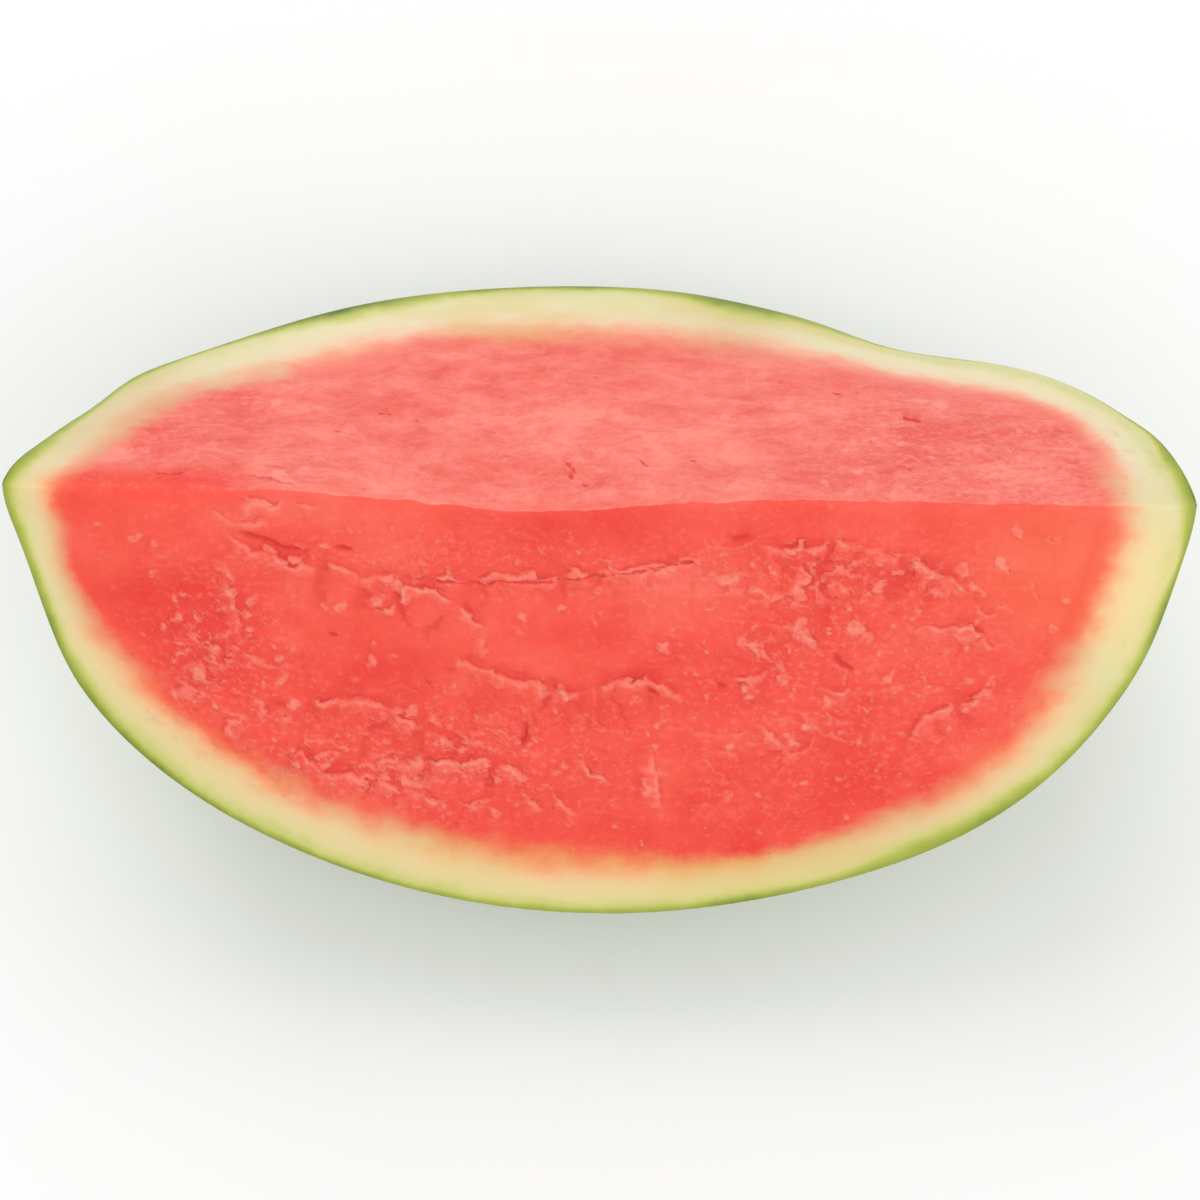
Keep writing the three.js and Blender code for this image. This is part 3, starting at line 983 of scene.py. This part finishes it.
def color_ramp(value, table):
    """Colours along a line: each row of the table is a position from 0 to 1 and the sRGB colour there."""
    made = node("ValToRGB", inputs={"Fac": value})
    stops = made.color_ramp.elements
    while len(stops) < len(table):
        stops.new(0.5)
    for stop, (position, *color) in zip(stops, table):
        stop.position = position
        stop.color = srgb(*color)
    return made.outputs["Color"]


FRONT_RIND_STOPS = [
    (0.08, 206, 204, 124), (0.17, 226, 212, 148), (0.28, 236, 209, 154), (0.38, 244, 190, 138),
    (0.46, 250, 156, 112), (0.53, 250, 114, 76), (0.62, 248, 80, 54),
]
BACK_RIND_STOPS = [
    (0.08, 216, 212, 150), (0.18, 232, 222, 172), (0.30, 238, 220, 182), (0.38, 244, 204, 168),
    (0.45, 250, 168, 138), (0.53, 248, 134, 112), (0.62, 246, 110, 94),
]
facing = attribute("side")
half_depth = times(depth, 0.5)
back_rind_color = color_ramp(half_depth, BACK_RIND_STOPS)
front_rind_color = color_ramp(half_depth, FRONT_RIND_STOPS)
tint = attribute("tint")
tone = attribute("tone")
bright = times(ramp(tone, 0.0, -1.0, 0, 0.6), ramp(depth, 1.0, 0.6))
rind_color = layered(
    mix_colors(facing, back_rind_color, front_rind_color),
    (ramp(soft_patches, 0.0, 0.8, 0, 0.4), (218, 222, 166)),
    (ramp(tint, 0.1, 1.1, 0, 0.55), (221, 199, 116)),
    (ramp(tone, 0.0, 1.0, 0, 0.6), (214, 184, 132)),
    (bright, (254, 232, 164)),
)
print(len(FRONT_RIND_STOPS) + len(BACK_RIND_STOPS), "colours in the two rind ramps")

# %% [markdown]
# The flesh is redder where its tint is deeper. Soft grain and small cells break up the red, and the cells
# show most where the flesh is torn. The blunt end's flesh is a little more orange. Each of these is a layer
# over the plain red, because layers can be changed one at a time. The back cut's reds are paler and greyer
# than the front's, a painted sheen of the bright room that the back cut reflects.

# %% Flesh colours
FRONT_REDS = [(0.0, 251, 104, 86), (0.5, 248, 82, 64), (1.0, 238, 58, 46)]
# Painted sheen: the back cut's reds are the front's made paler and greyer, as the back cut shines.
SHEENED_BACK_REDS = [(0.0, 252, 137, 122), (0.5, 246, 113, 98), (1.0, 237, 90, 77)]
grain = noise(420, 2, (0.8, 1, 1), 0.6)
streaks = noise(150, 4, (0.6, 0.8, 1), 0.7, 0.5)
deep = math_node("ADD", math_node("MULTIPLY_ADD", tint, 0.45, 0.5), times(ragged, 0.8))
cells = noise(650, 2, (0.8, 1, 1), 0.6)
grainy = attribute("grainy")
warm = times(ramp(tone, 0.0, -0.8, 0, 0.5), ramp(depth, 4.0, 1.2), facing)
red = layered(
    mix_colors(facing, color_ramp(roughened(deep, streaks, 2.3), SHEENED_BACK_REDS), color_ramp(deep, FRONT_REDS)),
    (ramp(grain, 0.58, 0.78, 0.0, 0.25), (255, 138, 118)),
    (times(ramp(cells, 0.52, 0.72, 0, 0.4), grainy), (255, 158, 142)),
    (times(ramp(cells, 0.46, 0.3, 0, 0.45), grainy), (222, 72, 62)),
    (warm, (250, 112, 66)),
)
in_flesh = ramp(depth, 1.0, 1.5)
flesh = mix_colors(in_flesh, rind_color, red)
print("flesh mixed with", len(nodes), "nodes so far")

# %% [markdown]
# The mesh knows the way to the nearest lip, crack and crumb at each point, but its points are almost a
# millimetre apart. Noise that is finer than the mesh is added to these ways before they are compared with a
# limit, so that the painted edges come out frayed and sharp.

# %% Lips, crumbs and hollows
# Lips are paler torn flesh and also get a painted highlight where they catch the light; crumbs share the pale
# colour.
PALE_TORN_AND_HIGHLIGHT = (255, 148, 128)
# Painted light: the sheet's face just below each lip is paler, fading into shade further down.
LIT_SHEET = (253, 128, 108)
# Painted shadow: a thin dark line at the foot of each lip, where the lip's step shades the surface.
LIP_SHADOW = (216, 44, 38)
# Painted shade: hollows and cracks are darkened to a deeper wet red where shade falls into them.
WET_HOLLOW_SHADE = (220, 48, 40)
edge_size = attribute("size")
broken = noise(280, 2, (1, 1, 1), 0.6)
frayed = roughened(attribute("way"), broken, 2.2)
# The lip's pale line is partly paler torn flesh and partly a painted highlight.
pale_and_lit_lip = ramp(math_node("ABSOLUTE", math_node("SUBTRACT", frayed, 0.5)), 1.0, 0.3)
# A painted shadow line just above each lip, on the low side of its step.
lip_shadow_line = ramp(math_node("ABSOLUTE", math_node("ADD", frayed, 0.6)), 0.6, 0.1)
below_lip = times(ramp(frayed, 4.4, 1.0), ramp(frayed, -0.2, 0.3))
# Painted light on the sheet below each lip, fading over about four millimetres.
painted_sheet_light = times(below_lip, ramp(grain, 0.35, 0.6, 0.3, 1.0))
counted = times(edge_size, in_flesh)
crumb = attribute("crumb")
crumbly = roughened(crumb, broken, 1.5)
near_crumb = ramp(crumb, 0.0, 0.2, 0.12, 1.0)
fleck = times(ramp(crumbly, 0.22, 0.6), ramp(grain, 0.3, 0.6, 0.2, 1.0), near_crumb, in_flesh)
# Painted shade in hollows and along cracks, and partly wetter flesh there.
painted_hollow_shade = ramp(attribute("hollow"), 0.1, 0.6, 0, 0.45)
painted_crack_shade = ramp(roughened(attribute("crack"), broken, 0.9), 0.55, 0.8, 0, 0.85)
flesh = layered(
    flesh,
    (times(painted_sheet_light, counted, 0.6), LIT_SHEET),
    (times(pale_and_lit_lip, counted, 0.5), PALE_TORN_AND_HIGHLIGHT),
    (times(lip_shadow_line, counted, 0.5), LIP_SHADOW),
    (times(fleck, 0.6), PALE_TORN_AND_HIGHLIGHT),
    (times(math_node("MAXIMUM", painted_hollow_shade, painted_crack_shade), in_flesh), WET_HOLLOW_SHADE),
)
print("lips and crumbs laid over the flesh, with", len(nodes), "nodes so far")

# %% [markdown]
# The thin green line at the rim is the cut edge of the skin. On a melon it is darker where a dark stripe
# reaches the rim, and the green table gives those places. It would be simpler to let the stripes run on
# into the cut, but then the dark stretches couldn't be placed one by one. On the skin itself, where the
# distance from the skin is nothing, the stripes take over.

# %% Green edge and skin
GREEN_STOPS = [(0.0, 150, 165, 54), (0.3, 176, 184, 76), (0.6, 204, 204, 108)]
green_rim = color_ramp(times(edge_depth, 0.5), GREEN_STOPS)
inside = mix_colors(ramp(edge_depth, 0.7, 1.8), green_rim, flesh)
darkest = times(ramp(edge_depth, 0.1, 0.9, 0.85, 0), attribute("green"))
inside = layered(inside, (darkest, (84, 112, 30)))
surface_color = mix_colors(ramp(from_skin_mm, 0.02, 0.5), skin_color, inside)
print("colour finished with", len(nodes), "nodes")

# %% [markdown]
# The cut is wet, but its flesh is soft and full of cells, so it has only a faint clear coat over a dull body.
# The skin is waxy and a little smoother. Fine bumps that are too small for the mesh stand for the flesh's
# cells. Larger relief is real geometry, because a bump shades a surface but leaves its outline smooth.

# %% Surface
SKIN_ROUGHNESS = 0.36
CUT_ROUGHNESS = 0.5
on_cut = ramp(from_skin_mm, 0.0, 0.6)
step_up = times(ramp(frayed, -0.5, 0.5), edge_size)
front_height = math_node("MULTIPLY_ADD", broken, 0.8, math_node("MULTIPLY_ADD", fleck, 0.6, step_up))
cut_height = node("Mix", data_type="FLOAT")
for key, value in ((0, facing), (2, streaks), (3, front_height)):
    links.new(value, cut_height.inputs[key])
fleshy = times(ramp(depth, 0.8, 1.2, 0.15, 1.0), on_cut)
fine_height = times(math_node("MULTIPLY_ADD", cells, 0.5, cut_height.outputs[0]), fleshy)
relief = node("Bump", inputs={"Strength": 0.6, "Distance": 0.0006, "Height": fine_height})
roughness = node("MapRange", inputs={"Value": on_cut, "To Min": SKIN_ROUGHNESS, "To Max": CUT_ROUGHNESS})
shader = node("BsdfPrincipled", inputs={"Base Color": surface_color, "Normal": relief.outputs[0]})
links.new(roughness.outputs["Result"], shader.inputs["Roughness"])
shader.inputs["Specular IOR Level"].default_value = 0.3
shader.inputs["Coat Weight"].default_value = 0.06
shader.inputs["Coat Roughness"].default_value = 0.25
node("OutputMaterial", inputs={"Surface": shader.outputs[0]})
mesh.materials.append(material)
print("material finished with", len(nodes), "nodes and", len(links), "links")

# %% [markdown]
# ## Floor, light and camera
# A pale floor and a pale surround stand for a white table in a bright room. A broad lamp high behind
# lights the back cut most, and a larger, slightly weaker one in front fills the torn cut, which stays deeper
# in colour. Large lamps give the soft shadows of a cloudy window, which a point lamp or the sun wouldn't.

# %% Floor and surround
FLOOR = 3.0
PAPER = (0.96, 0.96, 0.96, 1)
ROOM_LIGHT = 0.72
floor_mesh = bpy.data.meshes.new("floor")
floor_corners = [(-FLOOR, -FLOOR, 0), (FLOOR, -FLOOR, 0), (FLOOR, FLOOR, 0), (-FLOOR, FLOOR, 0)]
floor_mesh.from_pydata(floor_corners, [], [(0, 1, 2, 3)])
floor = add_object("floor", floor_mesh)
paper = bpy.data.materials.new("paper")
paper.use_nodes = True
paper_inputs = paper.node_tree.nodes["Principled BSDF"].inputs
paper_inputs["Base Color"].default_value = PAPER
paper_inputs["Roughness"].default_value = 0.9
floor_mesh.materials.append(paper)

world = bpy.data.worlds.new("room")
world.use_nodes = True
room_inputs = world.node_tree.nodes["Background"].inputs
room_inputs["Color"].default_value = (1, 1, 1, 1)
room_inputs["Strength"].default_value = ROOM_LIGHT
bpy.context.scene.world = world
bpy.context.scene.view_settings.view_transform = "Standard"
print("floor", 2 * FLOOR, "m wide, room light", ROOM_LIGHT)

# %% Lamps
WEDGE_MIDDLE = (0, 0, 0.08)


def softbox(name, position, target, size, power):
    """A square lamp of that size in metres and power in watts, turned to face the target."""
    lamp = bpy.data.lights.new(name, "AREA")
    lamp.size = size
    lamp.energy = power
    holder = add_object(name, lamp)
    holder.location = position
    holder.rotation_euler = (Vector(target) - Vector(position)).to_track_quat("-Z", "Y").to_euler()
    print(name, power, "W,", size, "m wide")


softbox("key_lamp", (-0.25, 0.9, 1.1), WEDGE_MIDDLE, 1.0, 5.8)
softbox("fill_lamp", (0.3, -0.9, 1.0), WEDGE_MIDDLE, 1.4, 5.5)

# %% [markdown]
# The camera looks down at the wedge from the front, steeply and from close by, so that both cuts show. It is
# turned by one degree, and shifted a little to put the wedge where it stands in the picture. Its place is
# worked out from angles, because these can be measured and changed one at a time.

# %% Camera
SENSOR = 36
ELEVATION = math.radians(73.75)
ROLL = math.radians(1.007)
DISTANCE = 0.7537
HALF_VIEW = math.radians(11.3)
SIDE_SHIFT = 0.00059
UP_SHIFT = -0.02647
backward = Vector((0, -math.cos(ELEVATION), math.sin(ELEVATION)))
rightward = Vector((1, 0, 0))
upward = Vector((0, math.sin(ELEVATION), math.cos(ELEVATION)))
target = Vector((0, 0, AXIS_HEIGHT * MM)) + rightward * SIDE_SHIFT + upward * UP_SHIFT
turned_right = rightward * math.cos(ROLL) + upward * math.sin(ROLL)
turned_up = upward * math.cos(ROLL) - rightward * math.sin(ROLL)
camera = add_object("camera", bpy.data.cameras.new("camera"))
camera.data.sensor_width = SENSOR
camera.data.lens = SENSOR / 2 / math.tan(HALF_VIEW)
axes = Matrix((turned_right, turned_up, backward)).transposed().to_4x4()
camera.matrix_world = Matrix.Translation(target + backward * DISTANCE) @ axes
bpy.context.scene.camera = camera
print("camera", round(camera.data.lens, 1), "mm lens,", round(DISTANCE, 3), "m away")
